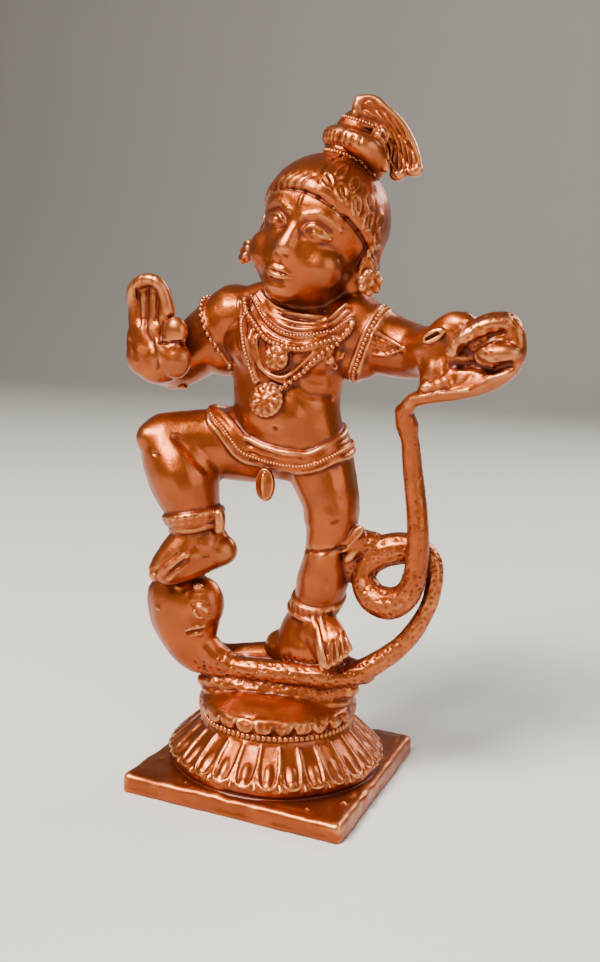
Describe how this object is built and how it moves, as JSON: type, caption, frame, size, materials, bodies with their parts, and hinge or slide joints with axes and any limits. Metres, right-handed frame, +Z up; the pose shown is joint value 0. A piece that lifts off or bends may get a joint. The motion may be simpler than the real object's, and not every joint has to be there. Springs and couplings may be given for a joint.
{
  "type": "krishna figure",
  "caption": "Small solid cast copper figure of a boy dancing on a coiled serpent, one leg raised and one hand on its tail, on a lotus seat and square plinth.",
  "frame": {"origin": "centre of the square plinth's flat underside, the face the figure stands on", "axes": "+Z up through the figure, -Y the way the figure's chest and the plinth's front face, +X towards the figure's own left hand"},
  "size_m": [0.0508, 0.03, 0.0879],
  "materials": {
    "cast_copper": "warm red-brown cast copper, satin, rubbed bright on the raised ornament and darker in the recesses"
  },
  "bodies": {
    "root": {"krishna_figure": "cast_copper"}
  },
  "joints": []
}
